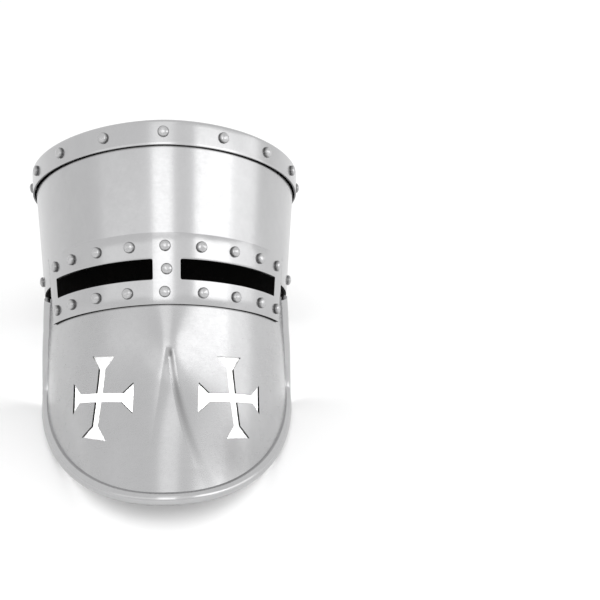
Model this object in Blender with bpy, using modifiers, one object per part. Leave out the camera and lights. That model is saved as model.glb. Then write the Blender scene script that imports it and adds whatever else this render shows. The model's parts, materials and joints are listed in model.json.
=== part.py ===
"""A flat-topped great helm of riveted steel sheet, resting tilted back on a floor.

The helm is modelled upright in its own axes: X to the right, -Y out of the face, Z up the middle,
with zero height at the upper edge of the eye slits. At the end an empty tilts it back until the rim
of the face plate and the rear edge of the skull stand on the floor together.
"""

import math

import bmesh
import bpy
from mathutils import Matrix, Vector

# Sheet steel and the clearances between pieces
sheet = 0.0016
lay_gap = 0.0003

# Plan of the skull, outside, at the upper edge of the slits
eye_half_width = 0.101
front_depth = 0.131
rear_depth = 0.121
front_roundness = 1.85
wall_flare = 0.09
columns = 72

# Skull and flat crown plate, heights from the upper edge of the slits
skull_low = -0.002
skull_front_low = 0.0004
skull_front_angle = math.radians(76)
crown_top = 0.1047
crown_seat_gap = 0.001
flange_height = 0.0198
flange_gap_top = 0.0004
flange_gap_low = 0.0014
crown_bend = 0.0028

# Brow band with the eye slits
band_above_slit = 0.0192
slit_height = 0.0155
band_below_slit = 0.0182
nasal_width = 0.0204
slit_length = 0.102
slit_corner = 0.002
band_end_margin = 0.0117

# Face plate
face_top_cover = 0.002
shoulder_rise = 0.006
shoulder_angle = math.radians(58)
face_top_angle = math.radians(71.5)
face_side_angle = math.radians(88)
face_side_drop = 0.080
face_length = 0.1772
outline_squareness = 2.2
corner_turn = math.radians(36)
lean_start = 0.062
lean_full = 0.105
chin_lean = 0.2
tongue_width = 0.014
tongue_clear = 0.0008
bead_radius = 0.0047
bead_inside = 0.0024

# Keel down the middle of the face plate
keel_start = 0.066
keel_apex_half_width = 0.0008
keel_spread = 0.19
keel_slope = 0.2
keel_end_slope = 0.13

# Cross-shaped breaths
cross_angle = math.radians(32.3)
cross_drop = 0.1005
cross_span = 0.062
cross_bar = 0.0068
cross_end = 0.024
cross_flare = 0.0095
cross_lean = math.radians(3.3)

# Rivets
shank_diameter = 0.0042
hole_clearance = 0.0003
head_diameter = 0.0086
head_height = 0.0029
tail_diameter = 0.0066
tail_height = 0.0012
rivet_play = 0.0005
crown_rivets = 16
brow_rivets_each_side = 4
brow_pitch = 0.0288
side_rivet_angle = math.radians(84)
nasal_rivet_drop = 0.0077
dome_shape = ((0.0, 1.0), (0.5, 0.87), (0.86, 0.5), (1.0, 0.0))

# How far the cutters reach past the sheet that they cut
slit_cut_inside = 0.005
slit_cut_outside = 0.006
cross_cut_depth = 0.04
drill_depth = 0.024

band_low = -slit_height - band_below_slit
band_half_length = brow_rivets_each_side * brow_pitch + band_end_margin


def superellipse(angle, half_width, front, rear):
    """A point of the plan: angle zero is the middle of the front, and it grows towards +X."""
    across = math.sin(angle)
    along = math.cos(angle)
    if along > 0:
        power = 2 / front_roundness
        return half_width * math.copysign(abs(across) ** power, across), -front * along**power
    return half_width * across, -rear * along


def wall(angle, height, lift=0.0):
    """Outer face of the flared skull wall, which the brow band and the face plate's top follow."""
    grow = 1 + wall_flare * height / eye_half_width
    x, y = superellipse(
        angle,
        eye_half_width * grow + lift,
        front_depth * grow + lift,
        rear_depth * grow + lift,
    )
    return Vector((x, y, height))


def flange(angle, height, lift=0.0):
    """Outer face of the crown plate's turned-down flange, a little steeper than the skull."""
    share = (crown_top - height) / flange_height
    stand_off = flange_gap_top + (flange_gap_low - flange_gap_top) * share
    return wall(angle, height, stand_off + sheet + lift)


def keel(x, height):
    """How far the middle ridge stands out of the face plate at a place on it."""
    below = -keel_start - height
    if below <= 0:
        return 0.0
    half = keel_apex_half_width + keel_spread * below
    share = below / (face_length - keel_start)
    slope = keel_slope + (keel_end_slope - keel_slope) * share
    return slope * max(0.0, half - abs(x))


def face(angle, height, lift=0.0):
    """Outer face of the face plate: upright down to the chin, which bends forward into a lean."""
    held = max(height, band_low)
    grow = 1 + wall_flare * held / eye_half_width
    bend_length = lean_full - lean_start
    bend = min(max(-lean_start - height, 0.0), bend_length)
    straight = max(-lean_full - height, 0.0)
    forward = chin_lean * (bend**2 / bend_length / 2 + straight)
    x, y = superellipse(
        angle,
        eye_half_width * grow + lift,
        front_depth * grow + forward + lift,
        rear_depth * grow + lift,
    )
    return Vector((x, y - keel(x, height), height))


def outward(surface, angle, height):
    """Unit normal of a surface function, out of the helm."""
    step = 0.0004
    across = surface(angle + step, height) - surface(angle - step, height)
    up = surface(angle, height + step) - surface(angle, height - step)
    return across.cross(up).normalized()


def angle_at(distance, height, surface=wall):
    """The plan angle that lies a distance along the surface from the middle of the front."""
    steps = 2000
    stride = math.pi / steps
    travelled = 0.0
    here = surface(0.0, height)
    for index in range(1, steps + 1):
        there = surface(index * stride, height)
        piece = (there - here).length
        if travelled + piece >= abs(distance):
            angle = (index - 1 + (abs(distance) - travelled) / piece) * stride
            return math.copysign(angle, distance)
        travelled += piece
        here = there
    return math.copysign(math.pi, distance)


def half_perimeter(height, surface):
    """Length of the plan from the middle of the front to the middle of the rear."""
    steps = 2000
    points = [surface(math.pi * index / steps, height) for index in range(steps + 1)]
    return sum((b - a).length for a, b in zip(points, points[1:]))


def clear_scene():
    for item in list(bpy.data.objects):
        bpy.data.objects.remove(item, do_unlink=True)


def collection(name):
    group = bpy.data.collections.new(name)
    bpy.context.scene.collection.children.link(group)
    return group


def metal(name, colour, roughness):
    material = bpy.data.materials.new(name)
    material.use_nodes = True
    shader = material.node_tree.nodes["Principled BSDF"]
    shader.inputs["Base Color"].default_value = (*colour, 1.0)
    shader.inputs["Metallic"].default_value = 1.0
    shader.inputs["Roughness"].default_value = roughness
    return material


def add_object(name, bm, group, material=None):
    mesh = bpy.data.meshes.new(name)
    bmesh.ops.recalc_face_normals(bm, faces=bm.faces)
    bm.to_mesh(mesh)
    bm.free()
    item = bpy.data.objects.new(name, mesh)
    group.objects.link(item)
    if material:
        mesh.materials.append(material)
        mesh.shade_smooth()
        mesh.set_sharp_from_angle(angle=math.radians(35))
    return item


def add_cutter(name, bm, group):
    item = add_object(name, bm, group)
    item.hide_render = True
    item.display_type = "WIRE"
    return item


def boolean(item, tool, operation):
    step = item.modifiers.new(tool.name, "BOOLEAN")
    step.operation = operation
    step.solver = "EXACT"
    step.object = tool


def thicken(item):
    step = item.modifiers.new("Sheet", "SOLIDIFY")
    step.thickness = sheet
    step.offset = -1.0
    step.use_even_offset = True


def skin(rows, closed):
    """An open surface through rows of points that all run the same way, and its vertices by row."""
    bm = bmesh.new()
    grid = [[bm.verts.new(point) for point in row] for row in rows]
    for low, high in zip(grid, grid[1:]):
        count = len(low)
        last = count if closed else count - 1
        for index in range(last):
            after = (index + 1) % count
            bm.faces.new((low[index], low[after], high[after], high[index]))
    return bm, grid


def ring(surface, height, lift=0.0):
    angles = [2 * math.pi * index / columns for index in range(columns)]
    return [surface(angle, height, lift) for angle in angles]


def point_out(item):
    """Turns an open surface so that its faces look away from the helm's middle."""
    mesh = item.data
    facing = sum(polygon.normal.dot(Vector((*polygon.center.xy, 0.0))) for polygon in mesh.polygons)
    if facing < 0:
        mesh.flip_normals()


def make_skull(group, steel):
    """The wall, cut a little higher in front, so that its edge hides behind the slits' upper edge."""
    top = crown_top - sheet - crown_seat_gap
    low_row = []
    for index in range(columns):
        angle = 2 * math.pi * index / columns
        from_front = min(angle, 2 * math.pi - angle)
        low_row.append(wall(angle, skull_front_low if from_front < skull_front_angle else skull_low))
    rows = [low_row, ring(wall, (skull_low + top) / 2), ring(wall, top)]
    bm, _ = skin(rows, closed=True)
    skull = add_object("skull", bm, group, steel)
    point_out(skull)
    thicken(skull)
    return skull


def make_crown(group, steel):
    """The flat top with its flange turned down round the skull and riveted to it."""
    rows = [ring(flange, crown_top - flange_height), ring(flange, crown_top - flange_height / 2)]
    bend_steps = 3
    for index in range(bend_steps + 1):
        turn = math.pi / 2 * index / bend_steps
        height = crown_top - crown_bend * (1 - math.sin(turn))
        inset = crown_bend * (1 - math.cos(turn))
        rows.append(ring(flange, height, -inset))
    bm, grid = skin(rows, closed=True)
    bm.faces.new(grid[-1])
    crown = add_object("crown_plate", bm, group, steel)
    point_out(crown)
    thicken(crown)
    return crown


def make_brow_band(group, steel):
    reach = angle_at(band_half_length, 0.0)
    count = 2 * math.ceil(reach / (2 * math.pi / columns))
    angles = [-reach + 2 * reach * index / count for index in range(count + 1)]
    lift = lay_gap + sheet
    heights = (band_low, -slit_height, 0.0, band_above_slit)
    rows = [[wall(angle, height, lift) for angle in angles] for height in heights]
    bm, _ = skin(rows, closed=False)
    band = add_object("brow_band", bm, group, steel)
    point_out(band)
    thicken(band)
    return band


def make_slit_cutter(side, group):
    """A bar that follows the band's curve, with its four corners rounded."""
    start = side * nasal_width / 2
    corner_stops = [0.0, 0.3 * slit_corner, slit_corner]
    strides = 20
    straight_stops = [slit_length * index / strides for index in range(1, strides)]
    end_stops = [slit_length - stop for stop in reversed(corner_stops)]
    rows = []
    for along in corner_stops + straight_stops + end_stops:
        nearest = min(along, slit_length - along, slit_corner)
        inset = slit_corner - math.sqrt(slit_corner**2 - (slit_corner - nearest) ** 2)
        angle = angle_at(start + side * along, 0.0)
        low = -slit_height + inset
        corners = ((low, -slit_cut_inside), (-inset, -slit_cut_inside))
        corners += ((-inset, slit_cut_outside), (low, slit_cut_outside))
        rows.append([wall(angle, height, lift) for height, lift in corners])
    bm, grid = skin(rows, closed=True)
    bm.faces.new(grid[0])
    bm.faces.new(grid[-1])
    return add_cutter("slit_cutter_right" if side > 0 else "slit_cutter_left", bm, group)


def edge_angle(height):
    """Plan angle of the face plate's side edge at a height."""
    if height > -face_side_drop:
        share = (height + face_side_drop) / (face_side_drop - slit_height)
        return face_side_angle - (face_side_angle - face_top_angle) * share**1.5
    share = (-face_side_drop - height) / (face_length - face_side_drop)
    across = max(0.0, 1 - share**outline_squareness) ** (1 / outline_squareness)
    return angle_of_share(across * math.sin(face_side_angle) ** (2 / front_roundness))


def angle_of_share(share):
    """Plan angle where the plate's sideways reach is a share of its half width."""
    return math.asin(min(1.0, share) ** (front_roundness / 2))


def bottom_edge(turn):
    """A place on the lower outline, from turn zero at the side to a quarter turn at the tip."""
    drop = face_length - face_side_drop
    height = -face_side_drop - drop * math.sin(turn) ** (2 / outline_squareness)
    across = math.cos(turn) ** (2 / outline_squareness)
    across *= math.sin(face_side_angle) ** (2 / front_roundness)
    return angle_of_share(across), height


def face_places():
    """Rows of (angle, height) places from the hidden top edge to the lower outline."""
    fine = [math.radians(degrees) for degrees in (0, 1, 2, 3.5, 5, 7.5, 10)]
    coarse = [math.radians(degrees) for degrees in range(15, 70, 5)]
    half = [angle / face_top_angle for angle in fine + coarse] + [1.0]
    shares = [-share for share in reversed(half[1:])] + half
    face_top = -slit_height - face_top_cover
    shoulder = face_top + shoulder_rise

    top_row = []
    for share in shares:
        angle = share * edge_angle(shoulder)
        height = shoulder if abs(angle) > shoulder_angle else face_top
        top_row.append((angle, height))
    seam = [(share * edge_angle(band_low), band_low) for share in shares]

    corner = bottom_edge(corner_turn)
    side_end = corner[1]
    bottom = []
    for share in shares:
        angle, height = bottom_edge(math.pi / 2 - (math.pi / 2 - corner_turn) * abs(share))
        bottom.append((math.copysign(angle, share), height))

    rows = [top_row, seam]
    row_count = 14
    for index in range(1, row_count + 1):
        down = index / row_count
        side_height = band_low + (side_end - band_low) * down
        side_angle = edge_angle(side_height)
        row = []
        corner_angle = seam[-1][0] * (1 - down) + corner[0] * down
        for share, above, below in zip(shares, seam, bottom):
            straight_angle = above[0] * (1 - down) + below[0] * down
            height = above[1] * (1 - down) + below[1] * down
            row.append((straight_angle + share * (side_angle - corner_angle), height))
        rows.append(row)
    return rows


def make_face_plate(group, tools, steel):
    places = face_places()
    bm, grid = skin([[face(*place) for place in row] for row in places], closed=False)
    tongue_top = skull_front_low - tongue_clear
    inside = [i for i, place in enumerate(places[0]) if abs(face(*place).x) <= tongue_width / 2]
    risen = {i: bm.verts.new(face(places[0][i][0], tongue_top)) for i in inside}
    for i in inside[:-1]:
        bm.faces.new((grid[0][i], grid[0][i + 1], risen[i + 1], risen[i]))
    plate = add_object("face_plate", bm, group, steel)
    point_out(plate)
    thicken(plate)

    left_edge = [row[0] for row in places]
    right_edge = [row[-1] for row in places]
    border = left_edge + places[-1][1:-1] + right_edge[::-1]
    boolean(plate, make_bead(border, tools), "UNION")
    return plate


def make_bead(border, group):
    """The rolled edge: half round outside, and a flatter round behind the sheet."""
    points = [face(*place) for place in border]
    section_steps = 10
    rows = []
    for index, (point, place) in enumerate(zip(points, border)):
        before = points[max(index - 1, 0)]
        after = points[min(index + 1, len(points) - 1)]
        normal = outward(face, place[0], place[1])
        aside = (after - before).cross(normal).normalized()
        row = []
        for step in range(section_steps):
            turn = 2 * math.pi * (step + 0.5) / section_steps
            depth = bead_radius if math.sin(turn) > 0 else bead_inside
            row.append(point + aside * bead_radius * math.cos(turn) + normal * depth * math.sin(turn))
        rows.append(row)
    bm, grid = skin(rows, closed=True)
    bm.faces.new(grid[0])
    bm.faces.new(grid[-1])
    return add_cutter("bead", bm, group)


def make_cross_cutter(side, group):
    """An equal-armed cross with arms that flare at their ends, leaning a little to the nose."""
    half_bar = cross_bar / 2
    arm = cross_span / 2
    neck = arm - cross_flare
    outline = []
    for quarter in range(4):
        turn = Matrix.Rotation(quarter * math.pi / 2, 3, "Z")
        corners = ((neck, -half_bar), (arm, -cross_end / 2), (arm, cross_end / 2))
        corners += ((neck, half_bar), (half_bar, half_bar))
        outline += [turn @ Vector((x, y, 0.0)) for x, y in corners]
    bm = bmesh.new()
    flat = bm.faces.new([bm.verts.new(point) for point in outline])
    bmesh.ops.translate(bm, vec=(0, 0, -cross_cut_depth / 2), verts=bm.verts)
    grown = bmesh.ops.extrude_face_region(bm, geom=[flat])
    raised = [item for item in grown["geom"] if isinstance(item, bmesh.types.BMVert)]
    bmesh.ops.translate(bm, vec=(0, 0, cross_cut_depth), verts=raised)
    cutter = add_cutter("cross_cutter_right" if side > 0 else "cross_cutter_left", bm, group)
    place = placement(face, side * cross_angle, -cross_drop)
    cutter.matrix_world = place @ Matrix.Rotation(side * cross_lean, 4, "Z")
    return cutter


def placement(surface, angle, height, lift=0.0):
    """A frame on a surface: Z out of it, Y up it, X across it."""
    normal = outward(surface, angle, height)
    across = Vector((0, 0, 1)).cross(normal).normalized()
    up = normal.cross(across)
    frame = Matrix((across, up, normal)).transposed().to_4x4()
    frame.translation = surface(angle, height, lift)
    return frame


def rivet_mesh(name, grip, steel):
    """A turned profile: domed head above the outer face, shank, and a peened tail inside."""
    head = head_diameter / 2
    shank = shank_diameter / 2
    tail = tail_diameter / 2
    low = -grip - 2 * rivet_play
    profile = [(out * head, rise * head_height) for out, rise in dome_shape]
    profile += [(shank, 0.0), (shank, low), (tail, low), (tail, low - tail_height)]
    profile += [(0.0, low - tail_height)]
    bm = bmesh.new()
    verts = [bm.verts.new((x, 0.0, z)) for x, z in profile]
    edges = [bm.edges.new(pair) for pair in zip(verts, verts[1:])]
    bmesh.ops.spin(
        bm,
        geom=verts + edges,
        cent=(0, 0, 0),
        axis=(0, 0, 1),
        angle=2 * math.pi,
        steps=8,
        use_merge=True,
    )
    bmesh.ops.remove_doubles(bm, verts=bm.verts, dist=0.00001)
    bmesh.ops.recalc_face_normals(bm, faces=bm.faces)
    mesh = bpy.data.meshes.new(name)
    bm.to_mesh(mesh)
    bm.free()
    mesh.materials.append(steel)
    mesh.shade_smooth()
    mesh.set_sharp_from_angle(angle=math.radians(40))
    return mesh


def set_rivets(names, places, grip, group, steel):
    mesh = rivet_mesh(names[0] + "_form", grip, steel)
    for name, place in zip(names, places):
        rivet = bpy.data.objects.new(name, mesh)
        rivet.matrix_world = place @ Matrix.Translation((0, 0, rivet_play))
        group.objects.link(rivet)


def drill(name, places, group):
    """One cutter with a round bar along each rivet's axis."""
    bm = bmesh.new()
    radius = shank_diameter / 2 + hole_clearance
    for place in places:
        bmesh.ops.create_cone(
            bm,
            cap_ends=True,
            segments=10,
            radius1=radius,
            radius2=radius,
            depth=drill_depth,
            matrix=place,
        )
    return add_cutter(name, bm, group)


def brow_places(height):
    count = brow_rivets_each_side
    lift = lay_gap + sheet
    angles = [angle_at(step * brow_pitch, height) for step in range(-count, count + 1)]
    return [placement(wall, angle, height, lift) for angle in angles]


def row_names(stem):
    """Names from the left end to the right end of a brow row, which has one rivet in the middle."""
    count = brow_rivets_each_side
    left = [f"{stem}_left_{step}" for step in range(count, 0, -1)]
    right = [f"{stem}_right_{step}" for step in range(1, count + 1)]
    return left + [f"{stem}_middle"] + right


def rest(group, tools):
    """Tilts the helm back on to its rim and rear edge, and centres it over the origin."""
    stand = bpy.data.objects.new("helm_on_floor", None)
    bpy.context.scene.collection.objects.link(stand)
    bpy.context.view_layer.update()
    graph = bpy.context.evaluated_depsgraph_get()
    points = []
    for item in group.objects:
        shape = item.evaluated_get(graph)
        points += [item.matrix_world @ vertex.co for vertex in shape.data.vertices]
    front = [point for point in points if point.y < 0]
    rear = [point for point in points if point.y > 0]
    tilt = 0.5
    for step in range(12):
        sine = math.sin(tilt)
        cosine = math.cos(tilt)
        low_front = min(front, key=lambda point: point.z * cosine - point.y * sine)
        low_rear = min(rear, key=lambda point: point.z * cosine - point.y * sine)
        tilt = math.atan2(low_rear.z - low_front.z, low_rear.y - low_front.y)
    turn = Matrix.Rotation(-tilt, 4, "X")
    turned = [turn @ point for point in points]
    middle_y = (min(p.y for p in turned) + max(p.y for p in turned)) / 2
    floor_z = min(p.z for p in turned)
    for item in [*group.objects, *tools.objects]:
        item.parent = stand
    stand.matrix_world = Matrix.Translation((0.0, -middle_y, -floor_z)) @ turn
    bpy.context.view_layer.update()


def build():
    clear_scene()
    parts = collection("Great helm")
    tools = collection("Cutters")
    sheet_steel = metal("Polished steel", (0.62, 0.62, 0.63), 0.24)
    band_steel = metal("Polished band steel", (0.66, 0.66, 0.67), 0.2)
    rivet_steel = metal("Rivet steel", (0.58, 0.58, 0.59), 0.3)

    skull = make_skull(parts, sheet_steel)
    crown = make_crown(parts, band_steel)
    band = make_brow_band(parts, band_steel)
    plate = make_face_plate(parts, tools, sheet_steel)

    for side in (-1, 1):
        boolean(band, make_slit_cutter(side, tools), "DIFFERENCE")
        boolean(plate, make_cross_cutter(side, tools), "DIFFERENCE")

    double_grip = 2 * sheet + lay_gap
    names = row_names("brow_rivet_upper")
    places = brow_places(band_above_slit / 2)
    set_rivets(names, places, double_grip, parts, rivet_steel)
    holes = drill("upper_brow_holes", places, tools)
    boolean(band, holes, "DIFFERENCE")
    boolean(skull, holes, "DIFFERENCE")

    names = row_names("brow_rivet_lower")
    places = brow_places(-slit_height - band_below_slit / 2)
    set_rivets(names, places, double_grip, parts, rivet_steel)
    holes = drill("lower_brow_holes", places, tools)
    boolean(band, holes, "DIFFERENCE")
    boolean(plate, holes, "DIFFERENCE")

    places = [placement(wall, 0.0, -nasal_rivet_drop, lay_gap + sheet)]
    set_rivets(["nasal_rivet"], places, double_grip, parts, rivet_steel)
    holes = drill("nasal_hole", places, tools)
    boolean(band, holes, "DIFFERENCE")
    boolean(plate, holes, "DIFFERENCE")

    height = band_above_slit / 2
    places = [placement(wall, side * side_rivet_angle, height) for side in (-1, 1)]
    set_rivets(["side_rivet_left", "side_rivet_right"], places, sheet, parts, rivet_steel)
    boolean(skull, drill("side_holes", places, tools), "DIFFERENCE")

    height = crown_top - flange_height / 2
    pitch = 2 * half_perimeter(height, flange) / crown_rivets
    steps = [index if index <= crown_rivets // 2 else index - crown_rivets for index in range(crown_rivets)]
    places = [placement(flange, angle_at(step * pitch, height, flange), height) for step in steps]
    names = [f"crown_rivet_{index + 1:02d}" for index in range(crown_rivets)]
    crown_grip = 2 * sheet + (flange_gap_top + flange_gap_low) / 2
    set_rivets(names, places, crown_grip, parts, rivet_steel)
    holes = drill("crown_holes", places, tools)
    boolean(crown, holes, "DIFFERENCE")
    boolean(skull, holes, "DIFFERENCE")

    rest(parts, tools)


build()
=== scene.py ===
import json
import math
import random

import bmesh
import bpy
from mathutils import Matrix, Quaternion, Vector, noise


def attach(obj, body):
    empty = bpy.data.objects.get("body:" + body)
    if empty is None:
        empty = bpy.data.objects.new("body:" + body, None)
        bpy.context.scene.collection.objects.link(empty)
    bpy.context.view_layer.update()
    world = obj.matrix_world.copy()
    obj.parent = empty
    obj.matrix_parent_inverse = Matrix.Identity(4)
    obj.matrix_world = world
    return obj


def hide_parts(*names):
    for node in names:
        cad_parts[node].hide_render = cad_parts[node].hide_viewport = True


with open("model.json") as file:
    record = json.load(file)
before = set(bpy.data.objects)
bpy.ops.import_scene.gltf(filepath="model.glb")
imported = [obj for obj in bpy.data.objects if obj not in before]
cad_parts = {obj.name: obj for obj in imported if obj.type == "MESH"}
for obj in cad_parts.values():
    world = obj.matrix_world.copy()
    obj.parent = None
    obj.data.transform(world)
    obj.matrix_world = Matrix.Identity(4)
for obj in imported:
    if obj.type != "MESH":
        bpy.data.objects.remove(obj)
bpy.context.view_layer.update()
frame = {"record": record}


# The skull: the helm's open-bottomed oval wall, one sheet of steel rolled wider towards the crown
# and closed behind. Its outside is ground and polished, and its inside is left black from the forge.
sheet = 0.0016
eye_half_width = 0.101
front_depth = 0.131
rear_depth = 0.121
front_roundness = 1.85
wall_flare = 0.09
skull_low = -0.002
skull_front_low = 0.0004
skull_front_angle = math.radians(66)
skull_high = 0.1021
crown_top = 0.1047
flange_height = 0.0198
flange_low = crown_top - flange_height
band_above_slit = 0.0192
lap_half_length = 0.1265
sharp_angle = math.radians(40)
weld = 0.000005
crown_mount = frame["record"]["mounts"][0]
helm_up = Vector(crown_mount["axis"])
tilt_back = math.atan2(helm_up.y, helm_up.z)
leaned_back = Matrix.Rotation(-tilt_back, 4, "X")
crown_centre = Vector(crown_mount["pos_m"])
helm_place = Matrix.Translation(crown_centre) @ leaned_back @ Matrix.Translation((0, 0, -crown_top))


def oval(angle, half_width, front, rear):
    """A point of the helm's plan, with angle zero in the middle of the front."""
    across = math.sin(angle)
    along = math.cos(angle)
    if along > 0:
        power = 2 / front_roundness
        return half_width * math.copysign(abs(across) ** power, across), -front * along**power
    return half_width * across, -rear * along


def wall(angle, height, lift=0.0):
    """The outer face of the skull, in the helm's own upright axes."""
    grow = 1 + wall_flare * height / eye_half_width
    x, y = oval(
        angle,
        eye_half_width * grow + lift,
        front_depth * grow + lift,
        rear_depth * grow + lift,
    )
    return Vector((x, y, height))


def outward(surface, angle, height):
    """The way out of a face of the helm."""
    step = 0.0004
    across = surface(angle + step, height) - surface(angle - step, height)
    up = surface(angle, height + step) - surface(angle, height - step)
    return across.cross(up).normalized()


def rolled_sheet(columns, rows, place):
    """A grid of sheet whose shares across and up, from nought to one, are laid out by place."""
    bm = bmesh.new()
    bmesh.ops.create_grid(bm, x_segments=columns, y_segments=rows, size=0.5)
    sheet_map = bm.loops.layers.uv.new("sheet")
    shares = {vertex: (vertex.co.x + 0.5, vertex.co.y + 0.5) for vertex in bm.verts}
    spots = {vertex: place(*share) for vertex, share in shares.items()}
    for face in bm.faces:
        for loop in face.loops:
            loop[sheet_map].uv = spots[loop.vert][1]
    for vertex, spot in spots.items():
        vertex.co = spot[0]
    return bm


def finish_piece(name, bm, materials, thickness=0.0, edge=0.0):
    """Stands a piece made in the helm's axes in its place on the floor, and hangs its finish on it."""
    bmesh.ops.remove_doubles(bm, verts=bm.verts, dist=weld)
    bmesh.ops.recalc_face_normals(bm, faces=bm.faces)
    outside = sum(face.normal.dot(Vector((*face.calc_center_median().xy, 0))) for face in bm.faces)
    if thickness and outside < 0:
        bmesh.ops.reverse_faces(bm, faces=bm.faces)
    bm.transform(helm_place)
    mesh = bpy.data.meshes.new(name)
    bm.to_mesh(mesh)
    bm.free()
    piece = bpy.data.objects.new(name, mesh)
    bpy.context.scene.collection.objects.link(piece)
    for material in materials:
        mesh.materials.append(material)
    mesh.shade_smooth()
    mesh.set_sharp_from_angle(angle=sharp_angle)
    if thickness:
        wall_step = piece.modifiers.new("Sheet", "SOLIDIFY")
        wall_step.thickness = thickness
        wall_step.offset = -1
        wall_step.use_even_offset = True
        wall_step.material_offset = 1
        # Painted shade: the sheet's cut edges take the last material, a dark one that stands in for the
        # shadow along them.
        wall_step.material_offset_rim = len(materials) - 1
    if edge:
        edge_step = piece.modifiers.new("Dressed edge", "BEVEL")
        edge_step.width = edge
        edge_step.segments = 2
        edge_step.limit_method = "ANGLE"
        edge_step.angle_limit = math.radians(60)
        edge_step.use_clamp_overlap = True
    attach(piece, "root")
    return piece


def socket(group, name, kind, way, value=None):
    """Gives a node group one more input or output."""
    made = group.interface.new_socket(name=name, in_out=way, socket_type=kind)
    if value is not None:
        made.default_value = value


def brushed_grain_group():
    """Long fine scratches from the polishing belt, along the sheet's own first direction."""
    group = bpy.data.node_groups.new("Brushed grain", "ShaderNodeTree")
    socket(group, "Vector", "NodeSocketVector", "INPUT")
    socket(group, "Fineness", "NodeSocketFloat", "INPUT", 1400.0)
    socket(group, "Grain", "NodeSocketFloat", "OUTPUT")
    nodes = group.nodes
    links = group.links
    entry = nodes.new("NodeGroupInput")
    leave = nodes.new("NodeGroupOutput")
    stretch = nodes.new("ShaderNodeVectorMath")
    stretch.operation = "MULTIPLY"
    stretch.inputs[1].default_value = (0.03, 1.0, 1.0)
    links.new(entry.outputs["Vector"], stretch.inputs[0])
    scratches = nodes.new("ShaderNodeTexNoise")
    scratches.inputs["Detail"].default_value = 3.0
    scratches.inputs["Roughness"].default_value = 0.65
    links.new(stretch.outputs[0], scratches.inputs["Vector"])
    links.new(entry.outputs["Fineness"], scratches.inputs["Scale"])
    links.new(scratches.outputs["Fac"], leave.inputs["Grain"])
    return group


def handling_group():
    """Soft patches of thin tarnish and finger marks, and the long low waves of hand-worked sheet."""
    group = bpy.data.node_groups.new("Handling", "ShaderNodeTree")
    socket(group, "Vector", "NodeSocketVector", "INPUT")
    socket(group, "Patch Scale", "NodeSocketFloat", "INPUT", 22.0)
    socket(group, "Wave Scale", "NodeSocketFloat", "INPUT", 14.0)
    socket(group, "Patches", "NodeSocketFloat", "OUTPUT")
    socket(group, "Waves", "NodeSocketFloat", "OUTPUT")
    nodes = group.nodes
    links = group.links
    entry = nodes.new("NodeGroupInput")
    leave = nodes.new("NodeGroupOutput")
    patches = nodes.new("ShaderNodeTexNoise")
    patches.inputs["Detail"].default_value = 6.0
    patches.inputs["Roughness"].default_value = 0.95
    links.new(entry.outputs["Vector"], patches.inputs["Vector"])
    links.new(entry.outputs["Patch Scale"], patches.inputs["Scale"])
    spread = nodes.new("ShaderNodeMapRange")
    spread.inputs["From Min"].default_value = 0.35
    spread.inputs["From Max"].default_value = 0.7
    links.new(patches.outputs["Fac"], spread.inputs["Value"])
    links.new(spread.outputs["Result"], leave.inputs["Patches"])
    waves = nodes.new("ShaderNodeTexNoise")
    waves.inputs["Detail"].default_value = 1.0
    links.new(entry.outputs["Vector"], waves.inputs["Vector"])
    links.new(entry.outputs["Wave Scale"], waves.inputs["Scale"])
    links.new(waves.outputs["Fac"], leave.inputs["Waves"])
    return group


grain_group = brushed_grain_group()
hand_group = handling_group()


def ranged(nodes, links, source, low, high):
    """Spreads a mask over a range of values."""
    spread = nodes.new("ShaderNodeMapRange")
    spread.inputs["To Min"].default_value = low
    spread.inputs["To Max"].default_value = high
    links.new(source, spread.inputs["Value"])
    return spread.outputs["Result"]


def darkened(nodes, links, colour, mask):
    """Paints dark shade over a colour where the mask is high."""
    shaded = nodes.new("ShaderNodeMix")
    shaded.data_type = "RGBA"
    shaded.inputs["B"].default_value = (0.035, 0.034, 0.033, 1)
    links.new(mask, shaded.inputs["Factor"])
    links.new(colour, shaded.inputs["A"])
    return shaded.outputs["Result"]


def painted_seam_shade_group():
    """Painted shade on a sheet where another one is laid over it: darkest at that edge, fading out a short
    way from it.
    """
    group = bpy.data.node_groups.new("Painted seam shade", "ShaderNodeTree")
    socket(group, "Vector", "NodeSocketVector", "INPUT")
    socket(group, "Edge Height", "NodeSocketFloat", "INPUT", 0.0)
    socket(group, "Shade End Height", "NodeSocketFloat", "INPUT", 0.001)
    socket(group, "Half Length", "NodeSocketFloat", "INPUT", 1.0)
    socket(group, "Painted Shade", "NodeSocketFloat", "OUTPUT")
    nodes = group.nodes
    links = group.links
    entry = nodes.new("NodeGroupInput")
    leave = nodes.new("NodeGroupOutput")
    parts = nodes.new("ShaderNodeSeparateXYZ")
    links.new(entry.outputs["Vector"], parts.inputs[0])
    fade = nodes.new("ShaderNodeMapRange")
    links.new(parts.outputs["Y"], fade.inputs["Value"])
    links.new(entry.outputs["Shade End Height"], fade.inputs["From Min"])
    links.new(entry.outputs["Edge Height"], fade.inputs["From Max"])
    along = nodes.new("ShaderNodeMath")
    along.operation = "ABSOLUTE"
    links.new(parts.outputs["X"], along.inputs[0])
    within = nodes.new("ShaderNodeMath")
    within.operation = "LESS_THAN"
    links.new(along.outputs[0], within.inputs[0])
    links.new(entry.outputs["Half Length"], within.inputs[1])
    kept = nodes.new("ShaderNodeMath")
    kept.operation = "MULTIPLY"
    links.new(fade.outputs["Result"], kept.inputs[0])
    links.new(within.outputs[0], kept.inputs[1])
    links.new(kept.outputs[0], leave.inputs["Painted Shade"])
    return group


seam_shade_group = painted_seam_shade_group()


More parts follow.
